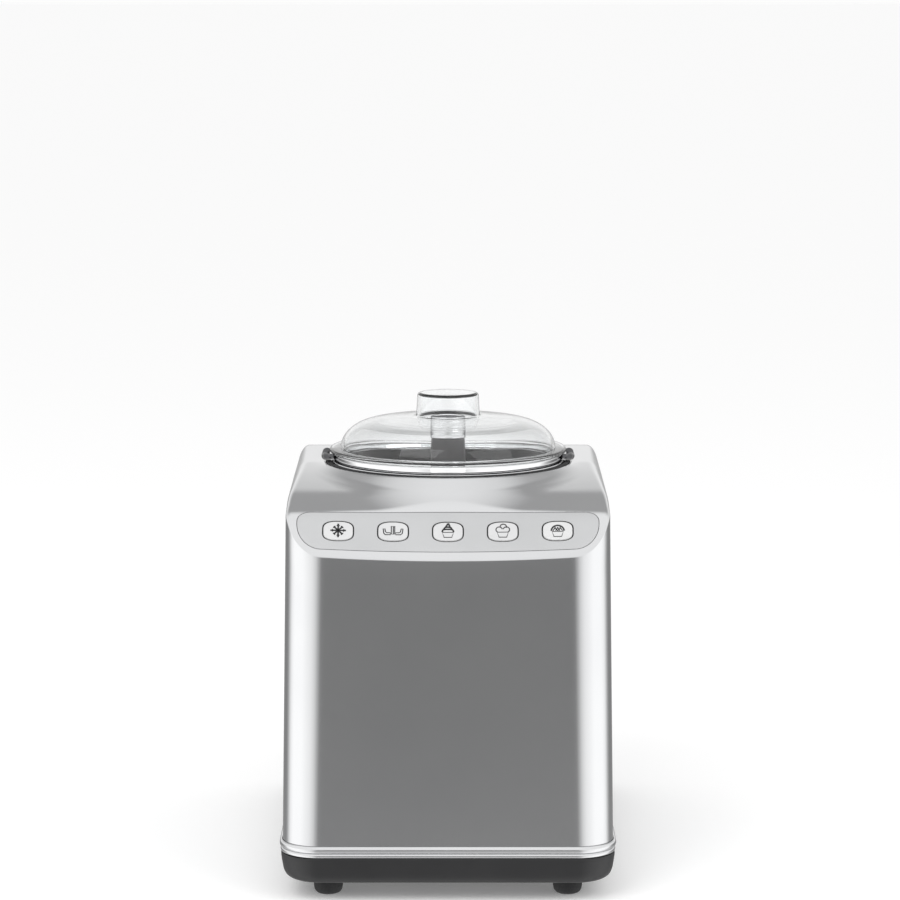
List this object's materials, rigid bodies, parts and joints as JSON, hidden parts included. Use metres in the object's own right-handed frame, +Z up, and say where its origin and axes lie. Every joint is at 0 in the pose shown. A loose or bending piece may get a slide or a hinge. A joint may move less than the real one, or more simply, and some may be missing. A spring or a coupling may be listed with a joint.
{
  "type": "ice cream maker",
  "caption": "Counter-top compressor ice cream maker with a steel body, a sloping key panel, a lift-out bowl in a cold well, a driven paddle and a clear lid.",
  "frame": {"origin": "on the counter, under the middle of the closed machine's bounding box", "axes": "+Z up, +Y to the back of the machine, +X to its right seen from the front; the key panel faces -Y"},
  "size_m": [0.23, 0.36, 0.3319],
  "materials": {
    "satin_steel": "satin stainless sheet",
    "bright_steel": "polished stainless steel",
    "dark_plastic": "moulded, fine texture",
    "black_plastic": "moulded, semi-matte",
    "panel_plastic": "painted silver grey, satin",
    "key_plastic": "painted pale silver with dark printed symbol",
    "clear_plastic": "clear moulded plastic, polished",
    "rubber": "matte",
    "copper": "drawn copper tube",
    "brass": "sintered bearing bronze",
    "foam": "expanded foam",
    "nylon": "natural nylon",
    "black_enamel": "black stove enamel",
    "zinc_steel": "zinc plated pressed sheet",
    "circuit_board": "solder mask"
  },
  "bodies": {
    "housing": {"outer_shell": "satin_steel", "trim_band": "bright_steel", "base_tray": "dark_plastic", "foot_front_left": "rubber", "foot_front_right": "rubber", "foot_rear_left": "rubber", "foot_rear_right": "rubber", "rear_cover": "black_plastic", "cord_gland": "rubber", "cover_screw_left": "bright_steel", "cover_screw_right": "bright_steel", "control_fascia": "panel_plastic", "button_board": "circuit_board", "control_board": "circuit_board", "well_gasket": "rubber", "cooling_well": "bright_steel", "evaporator_coil": "copper", "insulation_jacket": "foam", "drive_post": "black_plastic", "upper_bearing": "brass", "shaft_seal": "rubber", "lower_bearing": "brass", "gear_case": "dark_plastic", "gear_cover": "dark_plastic", "drive_frame": "zinc_steel", "motor_housing": "zinc_steel", "motor_stator": "copper", "compressor": "black_enamel", "compressor_plate": "zinc_steel", "grommet_1": "rubber", "grommet_2": "rubber", "grommet_3": "rubber", "relay_cover": "black_plastic", "condenser": "black_enamel", "fan_shroud": "black_plastic", "fan_motor": "zinc_steel", "filter_drier": "copper", "discharge_pipe": "copper", "suction_pipe": "copper", "capillary": "copper"},
    "drive": {"drive_shaft": "bright_steel", "drive_dog": "black_plastic", "output_gear": "nylon"},
    "idler": {"idler_gear": "nylon"},
    "rotor": {"motor_rotor": "zinc_steel", "motor_pinion": "brass"},
    "fan": {"fan_blades": "dark_plastic"},
    "key_chill": {"button_chill": "key_plastic"},
    "key_churn": {"button_churn": "key_plastic"},
    "key_gelato": {"button_gelato": "key_plastic"},
    "key_ice_cream": {"button_ice_cream": "key_plastic"},
    "key_granita": {"button_granita": "key_plastic"},
    "bowl": {"bowl": "bright_steel", "bowl_chimney": "dark_plastic", "bowl_lug_left": "bright_steel", "bowl_lug_right": "bright_steel"},
    "bush": {"paddle_bush": "nylon"},
    "paddle": {"paddle": "dark_plastic"},
    "cap": {"paddle_cap": "bright_steel"},
    "lid": {"lid": "clear_plastic"}
  },
  "joints": [
    {"name": "drive_spin", "type": "hinge", "parent": "housing", "child": "drive", "pos_m": [0, -0.036, 0.2], "axis": [0, 0, 1], "continuous": true},
    {"name": "idler_spin", "type": "hinge", "parent": "housing", "child": "idler", "pos_m": [0.03189, -0.06789, 0.17], "axis": [0, 0, 1], "continuous": true},
    {"name": "rotor_spin", "type": "hinge", "parent": "housing", "child": "rotor", "pos_m": [0.00063, -0.08594, 0.14], "axis": [0, 0, 1], "continuous": true},
    {"name": "fan_spin", "type": "hinge", "parent": "housing", "child": "fan", "pos_m": [0.0697, 0.098, 0.099], "axis": [1, 0, 0], "continuous": true},
    {"name": "chill_press", "type": "slide", "parent": "housing", "child": "key_chill", "axis": [0, 0.766, -0.6428], "range_m": [0, 0.0012], "stiffness_N_per_m": 600},
    {"name": "churn_press", "type": "slide", "parent": "housing", "child": "key_churn", "axis": [0, 0.766, -0.6428], "range_m": [0, 0.0012], "stiffness_N_per_m": 600},
    {"name": "gelato_press", "type": "slide", "parent": "housing", "child": "key_gelato", "axis": [0, 0.766, -0.6428], "range_m": [0, 0.0012], "stiffness_N_per_m": 600},
    {"name": "ice_cream_press", "type": "slide", "parent": "housing", "child": "key_ice_cream", "axis": [0, 0.766, -0.6428], "range_m": [0, 0.0012], "stiffness_N_per_m": 600},
    {"name": "granita_press", "type": "slide", "parent": "housing", "child": "key_granita", "axis": [0, 0.766, -0.6428], "range_m": [0, 0.0012], "stiffness_N_per_m": 600},
    {"name": "bowl_lift", "type": "slide", "parent": "housing", "child": "bowl", "axis": [0, 0, 1], "range_m": [0, 0.105]},
    {"name": "paddle_lift", "type": "slide", "parent": "bowl", "child": "bush", "axis": [0, 0, 1], "range_m": [0, 0.1075]},
    {"name": "paddle_spin", "type": "hinge", "parent": "bush", "child": "paddle", "pos_m": [0, -0.036, 0.23], "axis": [0, 0, 1], "continuous": true},
    {"name": "cap_lift", "type": "slide", "parent": "paddle", "child": "cap", "axis": [0, 0, 1], "range_m": [0, 0.014]},
    {"name": "lid_lift", "type": "slide", "parent": "bush", "child": "lid", "axis": [0, 0, 1], "range_m": [0, 0.0603]}
  ],
  "couplings": [
    {"joint": "idler_spin", "follows": "drive_spin", "ratio": -4},
    {"joint": "rotor_spin", "follows": "drive_spin", "ratio": 12},
    {"joint": "paddle_spin", "follows": "drive_spin", "ratio": 1}
  ]
}
